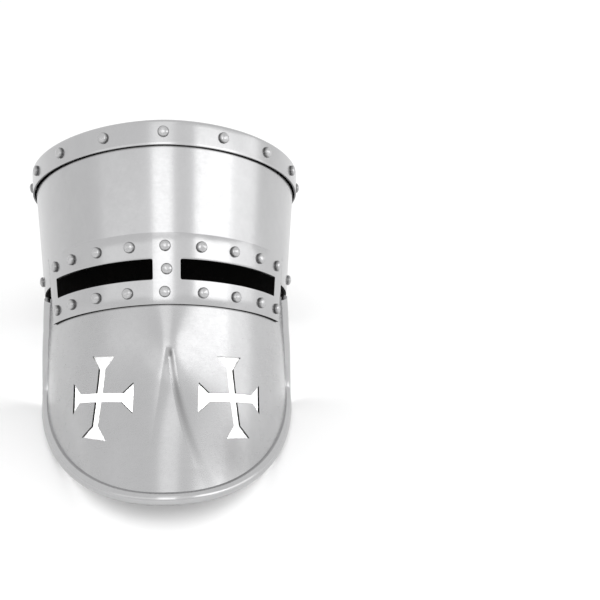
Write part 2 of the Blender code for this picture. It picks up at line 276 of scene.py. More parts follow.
def polished_steel(name, bright, dull, smooth, rough, wave_depth, grain_depth=0.000004, shade_lines=()):
    """Ground and polished sheet: brushed grain, faint tarnish and slightly wavy reflections.

    A painted shade line gives the height it is darkest at, the height where it ends, how far it runs to
    each side and how dark it gets.
    """
    material = bpy.data.materials.new(name)
    material.use_nodes = True
    nodes = material.node_tree.nodes
    links = material.node_tree.links
    shader = nodes["Principled BSDF"]
    shader.inputs["Metallic"].default_value = 1.0
    sheet_place = nodes.new("ShaderNodeUVMap")
    sheet_place.uv_map = "sheet"
    body_place = nodes.new("ShaderNodeTexCoord")
    grain = nodes.new("ShaderNodeGroup")
    grain.node_tree = grain_group
    links.new(sheet_place.outputs["UV"], grain.inputs["Vector"])
    hand = nodes.new("ShaderNodeGroup")
    hand.node_tree = hand_group
    links.new(body_place.outputs["Object"], hand.inputs["Vector"])

    tone = nodes.new("ShaderNodeMix")
    tone.data_type = "RGBA"
    tone.inputs["A"].default_value = (*bright, 1)
    tone.inputs["B"].default_value = (*dull, 1)
    links.new(hand.outputs["Patches"], tone.inputs["Factor"])
    colour = tone.outputs["Result"]
    # Painted shade: each line darkens the colour just under the edge of a sheet laid over this one.
    for edge_height, shade_end_height, half_length, strength in shade_lines:
        shade_paint = nodes.new("ShaderNodeGroup")
        shade_paint.node_tree = seam_shade_group
        shade_paint.inputs["Edge Height"].default_value = edge_height
        shade_paint.inputs["Shade End Height"].default_value = shade_end_height
        shade_paint.inputs["Half Length"].default_value = half_length
        links.new(sheet_place.outputs["UV"], shade_paint.inputs["Vector"])
        colour = darkened(nodes, links, colour, ranged(nodes, links, shade_paint.outputs["Painted Shade"], 0, strength))
    # Painted shade: a mesh attribute darkens the colour where shade is painted on the mesh.
    shade_marks = nodes.new("ShaderNodeAttribute")
    shade_marks.attribute_name = "painted_shade"
    colour = darkened(nodes, links, colour, shade_marks.outputs["Fac"])
    links.new(colour, shader.inputs["Base Color"])

    patch_rough = ranged(nodes, links, hand.outputs["Patches"], smooth, rough)
    grain_rough = ranged(nodes, links, grain.outputs["Grain"], -0.05, 0.05)
    total = nodes.new("ShaderNodeMath")
    total.operation = "ADD"
    links.new(patch_rough, total.inputs[0])
    links.new(grain_rough, total.inputs[1])
    links.new(total.outputs[0], shader.inputs["Roughness"])

    wave_bump = nodes.new("ShaderNodeBump")
    wave_bump.inputs["Strength"].default_value = 1.0
    wave_bump.inputs["Distance"].default_value = wave_depth
    links.new(hand.outputs["Waves"], wave_bump.inputs["Height"])
    grain_bump = nodes.new("ShaderNodeBump")
    grain_bump.inputs["Strength"].default_value = 1.0
    grain_bump.inputs["Distance"].default_value = grain_depth
    links.new(grain.outputs["Grain"], grain_bump.inputs["Height"])
    links.new(wave_bump.outputs["Normal"], grain_bump.inputs["Normal"])
    links.new(grain_bump.outputs["Normal"], shader.inputs["Normal"])
    return material


def black_scale_and_edge_shade():
    """Oiled black scale on the inside, browner and rougher in patches; on most sheets it is also painted
    on the cut edges as shade.
    """
    material = bpy.data.materials.new("black_scale_and_edge_shade")
    material.use_nodes = True
    nodes = material.node_tree.nodes
    links = material.node_tree.links
    shader = nodes["Principled BSDF"]
    shader.inputs["Metallic"].default_value = 0.0
    shader.inputs["Specular IOR Level"].default_value = 0.08
    place = nodes.new("ShaderNodeTexCoord")
    hand = nodes.new("ShaderNodeGroup")
    hand.node_tree = hand_group
    hand.inputs["Patch Scale"].default_value = 60.0
    links.new(place.outputs["Object"], hand.inputs["Vector"])
    tone = nodes.new("ShaderNodeMix")
    tone.data_type = "RGBA"
    tone.inputs["A"].default_value = (0.0012, 0.0012, 0.0013, 1)
    tone.inputs["B"].default_value = (0.004, 0.0034, 0.003, 1)
    links.new(hand.outputs["Patches"], tone.inputs["Factor"])
    links.new(tone.outputs["Result"], shader.inputs["Base Color"])
    links.new(ranged(nodes, links, hand.outputs["Patches"], 0.65, 0.85), shader.inputs["Roughness"])
    bump = nodes.new("ShaderNodeBump")
    bump.inputs["Distance"].default_value = 0.0002
    links.new(hand.outputs["Patches"], bump.inputs["Height"])
    links.new(bump.outputs["Normal"], shader.inputs["Normal"])
    return material


skull_steel = polished_steel(
    "skull_steel",
    bright=(0.475, 0.475, 0.48),
    dull=(0.44, 0.44, 0.445),
    smooth=0.2,
    rough=0.27,
    wave_depth=0.0003,
    # Painted shade: a dark line under the crown flange's lower edge, and a fainter one along the brow
    # band's top edge.
    shade_lines=(
        (flange_low, flange_low - 0.0014, 1.0, 0.8),
        (band_above_slit, band_above_slit + 0.0009, lap_half_length, 0.5),
    ),
)
black_inside_and_edge_shade = black_scale_and_edge_shade()
mean_radius = (eye_half_width + (front_depth + rear_depth) / 2) / 2


def on_skull(across, up):
    """The wall once round, cut a little higher in front so that its edge hides above the slits."""
    angle = 2 * math.pi * (across - 0.5)
    low = skull_front_low if abs(angle) < skull_front_angle else skull_low
    height = low + (skull_high - low) * up
    return wall(angle, height), (mean_radius * angle, height)


skull_bm = rolled_sheet(216, 20, on_skull)
skull = finish_piece("skull_wall", skull_bm, [skull_steel, black_inside_and_edge_shade], thickness=sheet, edge=0.0004)
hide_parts("skull")


# The crown plate: a flat oval of the same sheet whose edge is hammered down over the skull as a flange.
# The flange is riveted through the skull and stands a little off it at its lower edge.
flange_gap_top = 0.0004
flange_gap_low = 0.0014
crown_bend = 0.0028
near_top = crown_top - 0.0001
top_inset = 0.02
crown_steel = polished_steel(
    "crown_steel",
    bright=(0.485, 0.485, 0.49),
    dull=(0.45, 0.45, 0.455),
    smooth=0.19,
    rough=0.26,
    wave_depth=0.00025,
)


def flange(angle, height, lift=0.0):
    """The outer face of the crown plate's flange."""
    share = (crown_top - height) / flange_height
    stand_off = flange_gap_top + (flange_gap_low - flange_gap_top) * share
    return wall(angle, height, stand_off + sheet + lift)


def on_flange(across, up):
    """Up the flange for the first part, and round the bend for the rest."""
    angle = 2 * math.pi * (across - 0.5)
    straight = 0.5
    if up <= straight:
        height = flange_low + (flange_height - crown_bend) * up / straight
        return flange(angle, height), (mean_radius * angle, height)
    turn = math.pi / 2 * (up - straight) / (1 - straight)
    height = crown_top - crown_bend * (1 - math.sin(turn))
    inset = crown_bend * (1 - math.cos(turn))
    return flange(angle, height, -inset), (mean_radius * angle, height + inset)


crown_bm = rolled_sheet(216, 16, on_flange)
bmesh.ops.remove_doubles(crown_bm, verts=crown_bm.verts, dist=weld)
top_rim = [
    edge
    for edge in crown_bm.edges
    if edge.is_boundary and all(vertex.co.z > near_top for vertex in edge.verts)
]
crown_map = crown_bm.loops.layers.uv["sheet"]
flat_top = bmesh.ops.edgeloop_fill(crown_bm, edges=top_rim)["faces"]
bmesh.ops.inset_region(crown_bm, faces=flat_top, thickness=top_inset, use_even_offset=True)
for crown_face in crown_bm.faces:
    if all(vertex.co.z > near_top for vertex in crown_face.verts):
        for crown_loop in crown_face.loops:
            crown_loop[crown_map].uv = crown_loop.vert.co.xy
# Painted shade: the crown plate's cut edges are dark grey, standing in for the shadow along them.
edge_shade_steel = polished_steel(
    "edge_shade_steel",
    bright=(0.2, 0.2, 0.205),
    dull=(0.14, 0.14, 0.143),
    smooth=0.35,
    rough=0.5,
    wave_depth=0.0002,
)
crown_layers = [crown_steel, black_inside_and_edge_shade, edge_shade_steel]
crown = finish_piece("crown_cap", crown_bm, crown_layers, thickness=sheet, edge=0.0004)
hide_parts("crown_plate")


# The brow band: a strip cut flat with both eye slits in it, then bent round the front of the helm.
# It is riveted over the skull above the slits and over the face plate below them.
lay_gap = 0.0003
slit_height = 0.0155
band_below_slit = 0.0182
nasal_width = 0.0204
slit_length = 0.102
slit_corner = 0.0013
band_half_length = 0.1269
band_low = -slit_height - band_below_slit
close = 0.00001
band_steel = polished_steel(
    "band_steel",
    bright=(0.475, 0.475, 0.48),
    dull=(0.44, 0.44, 0.445),
    smooth=0.18,
    rough=0.25,
    wave_depth=0.0002,
)


def plan_lengths(surface, height, steps=3000):
    """How far round the helm each small step of angle gets, from the middle of the front."""
    travelled = [0.0]
    here = surface(0.0, height)
    for index in range(1, steps + 1):
        there = surface(math.pi * index / steps, height)
        travelled.append(travelled[-1] + (there - here).length)
        here = there
    return travelled


def angle_at(travelled, distance):
    """The plan angle a distance round the helm, to either side."""
    low, high = 0, len(travelled) - 1
    while high - low > 1:
        middle = (low + high) // 2
        if travelled[middle] < abs(distance):
            low = middle
        else:
            high = middle
    share = (abs(distance) - travelled[low]) / (travelled[high] - travelled[low])
    return math.copysign((low + share) * math.pi / (len(travelled) - 1), distance)


eye_lengths = plan_lengths(wall, 0.0)
band_bm = bmesh.new()
band_height = band_above_slit - band_low
bmesh.ops.create_grid(
    band_bm,
    x_segments=100,
    y_segments=6,
    size=0.5,
    matrix=Matrix.Translation((0, band_low + band_height / 2, 0))
    @ Matrix.Diagonal((2 * band_half_length, band_height, 1, 1)),
)
slit_ends = (nasal_width / 2, nasal_width / 2 + slit_length)
slit_lines = [((0, level, 0), (0, 1, 0)) for level in (0.0, -slit_height)]
slit_lines += [((side * end, 0, 0), (1, 0, 0)) for side in (-1, 1) for end in slit_ends]
for point, way in slit_lines:
    every = band_bm.verts[:] + band_bm.edges[:] + band_bm.faces[:]
    bmesh.ops.bisect_plane(band_bm, geom=every, plane_co=point, plane_no=way, dist=close)


def in_slit(face):
    """Whether a face of the flat strip lies where a slit is cut."""
    middle = face.calc_center_median()
    along = abs(middle.x) - nasal_width / 2
    return 0 < along < slit_length and -slit_height < middle.y < 0


bmesh.ops.delete(band_bm, geom=[face for face in band_bm.faces if in_slit(face)], context="FACES")
slit_corners = [
    vertex
    for vertex in band_bm.verts
    if min(abs(vertex.co.y), abs(vertex.co.y + slit_height)) < close
    and min(abs(abs(vertex.co.x) - end) for end in slit_ends) < close
]
bmesh.ops.bevel(
    band_bm,
    geom=slit_corners,
    offset=slit_corner,
    offset_type="OFFSET",
    segments=3,
    profile=0.5,
    affect="VERTICES",
    material=-1,
)
band_map = band_bm.loops.layers.uv.new("sheet")
for band_face in band_bm.faces:
    for band_loop in band_face.loops:
        band_loop[band_map].uv = band_loop.vert.co.xy
for vertex in band_bm.verts:
    vertex.co = wall(angle_at(eye_lengths, vertex.co.x), vertex.co.y, lay_gap + sheet)
band = finish_piece("brow_strip", band_bm, [band_steel, black_inside_and_edge_shade], thickness=sheet, edge=0.0003)
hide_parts("brow_band")


# The face plate: a U-shaped plate hung under the brow band, with its edge rolled outwards round a wire.
# A keel is hammered out down its middle, and a cross-shaped breath is cut with a saw on each side.
face_top_cover = 0.002
shoulder_rise = 0.006
shoulder_angle = math.radians(58)
shoulder_slope = math.radians(3)
face_top_angle = math.radians(71.5)
face_side_angle = math.radians(88)
face_side_drop = 0.080
face_length = 0.1772
outline_squareness = 2.2
lean_start = 0.062
lean_full = 0.105
chin_lean = 0.2
keel_start = 0.066
keel_height = 0.0032
keel_end_height = 0.0006
keel_rise_length = 0.008
keel_length = 0.09
keel_closeness = 0.6
crest_drift = 0.05
crest_curve = 1.9
left_start = 0.0006
left_spread = 0.165
fall_width = 0.0042
fall_spread = 0.04
swell_height = 0.0036
swell_half_width = 0.0095
swell_above = 0.019
swell_below = 0.013
corner_turn = math.radians(36)
face_steel = polished_steel(
    "face_steel",
    bright=(0.47, 0.47, 0.475),
    dull=(0.43, 0.43, 0.435),
    smooth=0.22,
    rough=0.3,
    wave_depth=0.0004,
    grain_depth=0.000002,
    # Painted shade: a dark line on the face plate just under the brow band's lower edge.
    shade_lines=((band_low, band_low - 0.0016, lap_half_length, 0.95),),
)


def keel_lines(below):
    """The keel's left border, its crest and its right foot, at a depth below its upper end."""
    crest = crest_drift * below + crest_curve * below**2
    return -left_start - left_spread * below, crest, crest + fall_width + fall_spread * below


def keel(x, height):
    """How far the keel stands out of the face plate: a flat fan on its left, a steep fall on its right."""
    below = -keel_start - height
    reach = swell_above if below < 0 else swell_below
    away = (x / swell_half_width) ** 2 + (below / reach) ** 2
    swell = swell_height * math.exp(-away / 2)
    if below <= 0:
        return swell
    left, crest, foot = keel_lines(below)
    share = (x - left) / (crest - left) if x < crest else (foot - x) / (foot - crest)
    fade = min(1.0, below / keel_length)
    top = keel_height + (keel_end_height - keel_height) * fade
    return swell + top * min(1.0, below / keel_rise_length) * max(0.0, share)


def face(angle, height, lift=0.0):
    """The outer face of the face plate."""
    held = max(height, band_low)
    grow = 1 + wall_flare * held / eye_half_width
    bend = min(max(-lean_start - height, 0), lean_full - lean_start)
    straight = max(-lean_full - height, 0)
    forward = chin_lean * (bend**2 / (lean_full - lean_start) / 2 + straight)
    x, y = oval(
        angle,
        eye_half_width * grow + lift,
        front_depth * grow + forward + lift,
        rear_depth * grow + lift,
    )
    return Vector((x, y - keel(x, height), height))


def angle_of_share(share):
    """The plan angle at a share of the half width."""
    return math.asin(min(1.0, share) ** (front_roundness / 2))


def edge_angle(height):
    """The plan angle of the plate's side edge."""
    if height > -face_side_drop:
        share = (height + face_side_drop) / (face_side_drop - slit_height)
        return face_side_angle - (face_side_angle - face_top_angle) * share**1.5
    share = (-face_side_drop - height) / (face_length - face_side_drop)
    across = max(0.0, 1 - share**outline_squareness) ** (1 / outline_squareness)
    return angle_of_share(across * math.sin(face_side_angle) ** (2 / front_roundness))


def bottom_edge(turn):
    """A place on the lower outline, from turn nought at the side to a quarter turn at the tip."""
    drop = face_length - face_side_drop
    height = -face_side_drop - drop * math.sin(turn) ** (2 / outline_squareness)
    across = math.cos(turn) ** (2 / outline_squareness)
    return angle_of_share(across * math.sin(face_side_angle) ** (2 / front_roundness)), height


def face_place(share, down):
    """Angle and height of a place on the plate, from its sides and its two ends."""
    corner_angle, corner_height = bottom_edge(corner_turn)
    side_height = band_low + (corner_height - band_low) * down
    side_angle = edge_angle(side_height)
    low_angle, low_height = bottom_edge(math.pi / 2 - (math.pi / 2 - corner_turn) * abs(share))
    top_angle = share * edge_angle(band_low)
    angle = top_angle * (1 - down) + math.copysign(low_angle, share) * down
    height = band_low * (1 - down) + low_height * down
    straight_angle = edge_angle(band_low) * (1 - down) + corner_angle * down
    straight_height = band_low * (1 - down) + corner_height * down
    angle += share * (side_angle - straight_angle)
    height += side_height - straight_height
    return angle, height


def on_face(across, up):
    """The plate, with its columns closer together at the keel and its top edge behind the band."""
    share = 2 * across - 1
    share *= 1 - keel_closeness + keel_closeness * share**2
    hidden = 0.06
    if up > 1 - hidden:
        rise = (up - 1 + hidden) / hidden
        shoulder = -slit_height - face_top_cover + shoulder_rise
        angle = share * (edge_angle(band_low) * (1 - rise) + edge_angle(shoulder) * rise)
        step = min(1.0, max(0.0, (abs(angle) - shoulder_angle) / shoulder_slope))
        top = shoulder - shoulder_rise * (1 - step)
        height = band_low + (top - band_low) * rise
    else:
        angle, height = face_place(share, 1 - up / (1 - hidden))
    return face(angle, height), (mean_radius * angle, height)


face_bm = rolled_sheet(180, 160, on_face)
face_sheet = finish_piece("face_sheet", face_bm, [face_steel, black_inside_and_edge_shade], thickness=sheet)


def surface_frame(surface, angle, height, lift=0.0):
    """Axes on a face of the helm: Z out of it, Y up it and X across it."""
    normal = outward(surface, angle, height)
    across = Vector((0, 0, 1)).cross(normal).normalized()
    up = normal.cross(across)
    axes = Matrix((across, up, normal)).transposed().to_4x4()
    axes.translation = surface(angle, height, lift)
    return axes


cross_span = 0.062
cross_bar = 0.0068
cross_flare = 0.0095
saw_reach = 0.02

# The two crosses were sawn by eye: their places, leans and ends differ, as measured from the photograph.
left_cross_angle = math.radians(-33.2)
left_cross_drop = 0.0997
left_cross_lean = math.radians(-4.5)
left_cross_ends = ((0.0237, 9), (0.0222, -1), (0.0241, 6.5), (0.0275, -6))
right_cross_angle = math.radians(31.6)
right_cross_drop = 0.1018
right_cross_lean = math.radians(2.0)
right_cross_ends = ((0.0227, -8), (0.0238, 0), (0.0236, -11), (0.0252, 2))


def saw_cross(angle, drop, cross_lean, ends):
    """Cuts a cross through the plate. Each arm widens from a neck to an end of its own.

    The ends give their widths, and their slants in degrees, from the right arm round to the lower one.
    """
    bm = bmesh.new()
    half_bar = cross_bar / 2
    arm = cross_span / 2
    neck = arm - cross_flare
    outline = []
    for quarter, (width, slant) in enumerate(ends):
        turn = Matrix.Rotation(quarter * math.pi / 2, 3, "Z")
        aside = math.sin(math.radians(slant)) * width / 2
        across = math.cos(math.radians(slant)) * width / 2
        corners = ((neck, -half_bar), (arm + aside, -across), (arm - aside, across))
        corners += ((neck, half_bar), (half_bar, half_bar))
        outline += [bm.verts.new(turn @ Vector((x, y, -saw_reach))) for x, y in corners]
    flat = bm.faces.new(outline)
    grown = bmesh.ops.extrude_face_region(bm, geom=[flat])["geom"]
    raised = [item for item in grown if isinstance(item, bmesh.types.BMVert)]
    bmesh.ops.translate(bm, vec=(0, 0, 2 * saw_reach), verts=raised)
    bmesh.ops.recalc_face_normals(bm, faces=bm.faces)
    place = surface_frame(face, angle, -drop)
    bm.transform(helm_place @ place @ Matrix.Rotation(cross_lean, 4, "Z"))
    mesh = bpy.data.meshes.new("saw")
    bm.to_mesh(mesh)
    bm.free()
    saw = bpy.data.objects.new("saw", mesh)
    bpy.context.scene.collection.objects.link(saw)
    cut = face_sheet.modifiers.new("Breath", "BOOLEAN")
    cut.operation = "DIFFERENCE"
    cut.solver = "EXACT"
    cut.object = saw
    return saw


def settle(piece):
    """Makes a piece's modifiers part of its mesh."""
    graph = bpy.context.evaluated_depsgraph_get()
    mesh = bpy.data.meshes.new_from_object(piece.evaluated_get(graph))
    piece.modifiers.clear()
    piece.data = mesh
    mesh.shade_smooth()
    mesh.set_sharp_from_angle(angle=sharp_angle)


saws = [
    saw_cross(left_cross_angle, left_cross_drop, left_cross_lean, left_cross_ends),
    saw_cross(right_cross_angle, right_cross_drop, right_cross_lean, right_cross_ends),
]
bpy.context.view_layer.update()
settle(face_sheet)
for saw in saws:
    bpy.data.objects.remove(saw)


# Painted shade on the face plate: a dark streak along the keel's steep right side, and a darker patch
# right of the chin.
keel_shade_strength = 0.72
fold_start = 0.004
fold_length = 0.1
fold_place = 0.55
fold_half_width = 0.0016
fold_spread = 0.025
shade_patch_strength = 0.42
shade_patch_right = 0.046
shade_patch_height = -0.143
shade_patch_half_width = 0.017
shade_patch_half_height = 0.03


def mark_painted_shade(piece):
    """Marks painted shade: a dark streak down the keel's steep right side, and a darker patch right of the
    chin.
    """
    marks = piece.data.attributes.new("painted_shade", "FLOAT", "POINT")
    upright = helm_place.inverted()
    for vertex in piece.data.vertices:
        spot = upright @ vertex.co
        below = -keel_start - spot.z
        if below <= 0 or spot.y > 0:
            continue
        crest, foot = keel_lines(below)[1:]
        start = min(1.0, below / fold_start)
        painted_shade = crest + (foot - crest) * fold_place
        beside = (spot.x - painted_shade) / (fold_half_width + fold_spread * below)
        side = keel_shade_strength * math.exp(-(beside**2)) * max(0.0, 1 - below / fold_length)
        shade_patch_x = (spot.x - shade_patch_right) / shade_patch_half_width
        shade_patch_z = (spot.z - shade_patch_height) / shade_patch_half_height
        shade_patch = shade_patch_strength * math.exp(-(shade_patch_x**2) - shade_patch_z**2)
        marks.data[vertex.index].value = max(start * side, shade_patch)


mark_painted_shade(face_sheet)
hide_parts("face_plate")


# The tongue: a narrow strip at the top of the face plate, which goes up behind the nasal bar and is held
# there by the one rivet in that bar.
tongue_width = 0.014
tongue_clear = 0.0008
tongue_top = skull_front_low - tongue_clear
tongue_low = -slit_height - face_top_cover


def on_tongue(across, up):
    """The strip behind the nasal bar, which follows the plate's own curve."""
    angle = angle_at(eye_lengths, (across - 0.5) * tongue_width)
    height = tongue_low + (tongue_top - tongue_low) * up
    return face(angle, height), (mean_radius * angle, height)


tongue_bm = rolled_sheet(8, 8, on_tongue)
tongue = finish_piece("face_tongue", tongue_bm, [face_steel, black_inside_and_edge_shade], thickness=sheet, edge=0.0002)


# The rolled rim: the edge of the face plate turned round a wire, down both sides and round the chin.
# It stands out of the plate as a half round, and lies flatter behind it.
rim_radius = 0.0046
rim_inside = 0.0024
rim_steel = polished_steel(
    "rim_steel",
    bright=(0.485, 0.485, 0.49),
    dull=(0.45, 0.45, 0.455),
    smooth=0.18,
    rough=0.24,
    wave_depth=0.0002,
)


def rim_stations():
    """Places along the plate's edge, from the top of one side round the chin to the other."""
    shoulder = -slit_height - face_top_cover + shoulder_rise
    low = bottom_edge(corner_turn)[1]
    side_steps = 70
    heights = [shoulder + (low - shoulder) * index / side_steps for index in range(side_steps)]
    side = [(edge_angle(height), height) for height in heights]
    chin_steps = 60
    span = math.pi / 2 - corner_turn
    chin = []
    for index in range(-chin_steps, chin_steps + 1):
        angle, height = bottom_edge(math.pi / 2 - span * abs(index) / chin_steps)
        chin.append((math.copysign(angle, index), height))
    left = [(-angle, height) for angle, height in side]
    return left + chin + side[::-1]


def roll_rim():
    """Draws a round section along the plate's edge, from station to station."""
    stations = rim_stations()
    points = [face(*station) for station in stations]
    bm = bmesh.new()
    rim_map = bm.loops.layers.uv.new("sheet")
    section_steps = 20
    step_length = 0.3 * rim_radius
    ring = bmesh.ops.create_circle(bm, segments=section_steps, radius=rim_radius)["verts"]
    rings = []
    for index, (point, station) in enumerate(zip(points, stations)):
        before = points[max(index - 1, 0)]
        after = points[min(index + 1, len(points) - 1)]
        normal = outward(face, *station)
        aside = (after - before).cross(normal).normalized()
        if index:
            loop_edges = [
                bm.edges.get((ring[step], ring[(step + 1) % section_steps]))
                for step in range(section_steps)
            ]
            step_of = {vertex: step for step, vertex in enumerate(ring)}
            grown = bmesh.ops.extrude_edge_only(bm, edges=loop_edges)["geom"]
            fresh = [item for item in grown if isinstance(item, bmesh.types.BMVert)]
            ordered = [None] * section_steps
            for vertex in fresh:
                for edge in vertex.link_edges:
                    other = edge.other_vert(vertex)
                    if other in step_of:
                        ordered[step_of[other]] = vertex
            ring = ordered
        for step, vertex in enumerate(ring):
            turn = 2 * math.pi * step / section_steps
            depth = rim_radius if math.sin(turn) > 0 else rim_inside
            spot = aside * rim_radius * math.cos(turn) + normal * depth * math.sin(turn)
            vertex.co = point + spot
        rings.append(list(ring))
    for end in (rings[0], rings[-1]):
        bm.faces.new(end)
    length = {}
    travelled = 0.0
    for index, loop in enumerate(rings):
        if index:
            travelled += (points[index] - points[index - 1]).length
        for step, vertex in enumerate(loop):
            length[vertex] = (travelled, step * step_length)
    for rim_face in bm.faces:
        for rim_loop in rim_face.loops:
            rim_loop[rim_map].uv = length[rim_loop.vert]
    return bm


rim = finish_piece("face_rim", roll_rim(), [rim_steel])


# The rivets: soft steel, each with its head hammered round outside and its tail peened over inside.
# Sixteen hold the crown, two rows and one more hold the brow band, and one sits over each ear.
shank_diameter = 0.0042
head_diameter = 0.0086
head_height = 0.00285
head_edge = 0.0004
head_foot_share = 0.97
dome_steps = 9
dome_fullness = 0.85
dent_scale = 260
dent_depth = 0.00025
uneven_width = 0.04
# Painted shade round each rivet's foot: how dark it gets, and the share of the head's radius where it
# starts.
rivet_shade = 0.65
unshaded_share = 0.76
tail_diameter = 0.0066
tail_height = 0.0012
tail_taper = 0.85
rivet_play = 0.0005
crown_rivets = 16
side_rivet_angle = math.radians(84)
nasal_rivet_drop = 0.0077


def rivet_metal():
    """Worn domes with small hammer marks, and painted shade round their feet where they meet the sheet."""
    material = bpy.data.materials.new("rivet_steel")
    material.use_nodes = True
    nodes = material.node_tree.nodes
    links = material.node_tree.links
    shader = nodes["Principled BSDF"]
    shader.inputs["Metallic"].default_value = 1.0
    place = nodes.new("ShaderNodeTexCoord")
    hand = nodes.new("ShaderNodeGroup")
    hand.node_tree = hand_group
    hand.inputs["Patch Scale"].default_value = 420.0
    hand.inputs["Wave Scale"].default_value = 380.0
    links.new(place.outputs["Object"], hand.inputs["Vector"])
    tone = nodes.new("ShaderNodeMix")
    tone.data_type = "RGBA"
    tone.inputs["A"].default_value = (0.52, 0.52, 0.525, 1)
    tone.inputs["B"].default_value = (0.42, 0.42, 0.425, 1)
    links.new(hand.outputs["Patches"], tone.inputs["Factor"])
    shade_marks = nodes.new("ShaderNodeAttribute")
    shade_marks.attribute_name = "painted_shade"
    colour = darkened(nodes, links, tone.outputs["Result"], shade_marks.outputs["Fac"])
    links.new(colour, shader.inputs["Base Color"])
    links.new(ranged(nodes, links, hand.outputs["Patches"], 0.2, 0.34), shader.inputs["Roughness"])
    bump = nodes.new("ShaderNodeBump")
    bump.inputs["Distance"].default_value = 0.0003
    links.new(hand.outputs["Waves"], bump.inputs["Height"])
    links.new(bump.outputs["Normal"], shader.inputs["Normal"])
    return material


rivet_steel = rivet_metal()
hammer = random.Random(7)


def add_rivet(bm, place, grip):
    """Spins one rivet's profile about its own axis and sets it in its hole."""
    shade_paint = bm.verts.layers.float["painted_shade"]
    head = head_diameter / 2
    low = -grip - 2 * rivet_play
    tail = tail_diameter / 2
    turns = [math.pi / 2 * index / dome_steps for index in range(dome_steps + 1)]
    dome = [(head * math.sin(turn), head_height * math.cos(turn) ** dome_fullness) for turn in turns]
    profile = dome + [(head * head_foot_share, -head_edge), (shank_diameter / 2, -head_edge)]
    profile += [(shank_diameter / 2, low), (tail, low)]
    profile += [(tail * tail_taper, low - tail_height), (0, low - tail_height)]
    verts = [bm.verts.new((x, 0, z)) for x, z in profile]
    edges = [bm.edges.new(pair) for pair in zip(verts, verts[1:])]
    before = set(bm.verts) - set(verts)
    bmesh.ops.spin(
        bm,
        geom=verts + edges,
        cent=(0, 0, 0),
        axis=(0, 0, 1),
        angle=2 * math.pi,
        steps=24,
        use_merge=True,
    )
    fresh = [vertex for vertex in bm.verts if vertex not in before]
    offset = Vector((hammer.uniform(-9, 9), hammer.uniform(-9, 9), hammer.uniform(-9, 9)))
    for vertex in fresh:
        # Painted shade: the outer part of each dome darkens towards its foot, making a dark ring where it
        # meets the sheet.
        if vertex.co.z > -0.0005:
            outer = vertex.co.xy.length / head
            vertex[shade_paint] = rivet_shade * min(1.0, max(0.0, (outer - unshaded_share) / (1 - unshaded_share)))
        if vertex.co.z > 0:
            vertex.co.z += dent_depth * noise.noise(vertex.co * dent_scale + offset)
            vertex.co.x *= 1 + uneven_width * noise.noise(offset)
    wobble = Matrix.Rotation(hammer.uniform(-0.05, 0.05), 4, "X")
    spin_turn = Matrix.Rotation(hammer.uniform(0, 6.28), 4, "Z")
    bmesh.ops.transform(
        bm, matrix=place @ Matrix.Translation((0, 0, rivet_play)) @ wobble @ spin_turn, verts=fresh
    )


def rivet_row(name, places, grip, nodes):
    """Makes a row of rivets as one piece, in place of their nodes."""
    bm = bmesh.new()
    bm.verts.layers.float.new("painted_shade")
    for place in places:
        add_rivet(bm, place, grip)
    row = finish_piece(name, bm, [rivet_steel])
    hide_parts(*nodes)


def spaced_row(surface, height, spots, lift=0.0):
    """Places round the helm at given distances from the middle of the front."""
    lengths = plan_lengths(surface, height)
    return [surface_frame(surface, angle_at(lengths, spot), height, lift) for spot in spots]


def brow_names(stem):
    """The nodes of a row, in the order of its places."""
    left = [f"{stem}_left_{step}" for step in (4, 3, 2, 1)]
    return left + [f"{stem}_middle"] + [f"{stem}_right_{step}" for step in (1, 2, 3, 4)]


double_grip = 2 * sheet + lay_gap
upper_height = band_above_slit / 2
lower_height = -slit_height - band_below_slit / 2

# How far each rivet sits from the middle of the front along the band, measured from the photograph.
upper_spots = (-0.1133, -0.0862, -0.057, -0.0279, -0.001, 0.0265, 0.0563, 0.0864, 0.116)
lower_spots = (-0.1125, -0.087, -0.0577, -0.0296, -0.0015, 0.0275, 0.0574, 0.0879, 0.1156)

brow_rows = (("upper", upper_height, upper_spots), ("lower", lower_height, lower_spots))
for side_name, height, spots in brow_rows:
    brow_places = spaced_row(wall, height, spots, lay_gap + sheet)
    rivet_row(f"brow_rivets_{side_name}", brow_places, double_grip, brow_names(f"brow_rivet_{side_name}"))
nasal_place = surface_frame(wall, 0.0, -nasal_rivet_drop, lay_gap + sheet)
rivet_row("nasal_bar_rivet", [nasal_place], double_grip, ["nasal_rivet"])
ear_places = [surface_frame(wall, side * side_rivet_angle, upper_height) for side in (-1, 1)]
rivet_row("ear_rivets", ear_places, sheet, ["side_rivet_left", "side_rivet_right"])

crown_height = crown_top - flange_height / 2
crown_half_way = plan_lengths(flange, crown_height)[-1]
crown_pitch = 2 * crown_half_way / crown_rivets
crown_spots = [step * crown_pitch for step in range(1 - crown_rivets // 2, crown_rivets // 2 + 1)]

# The rivets in front aren't evenly spaced: these are their distances from the even places.
left_shifts = (-0.004, -0.0055, -0.0045, -0.0023, -0.001)
right_shifts = (-0.002, -0.0012, 0.0035, 0.0055, 0.004)
middle_shift = -0.0015
front_shifts = (*left_shifts, middle_shift, *right_shifts)
middle_rivet = crown_rivets // 2 - 1
for index, shift in enumerate(front_shifts, middle_rivet - len(left_shifts)):
    crown_spots[index] += shift
crown_places = spaced_row(flange, crown_height, crown_spots)
crown_names = [f"crown_rivet_{index:02d}" for index in range(1, crown_rivets + 1)]
crown_grip = 2 * sheet + (flange_gap_top + flange_gap_low) / 2
rivet_row("crown_rivets", crown_places, crown_grip, crown_names)


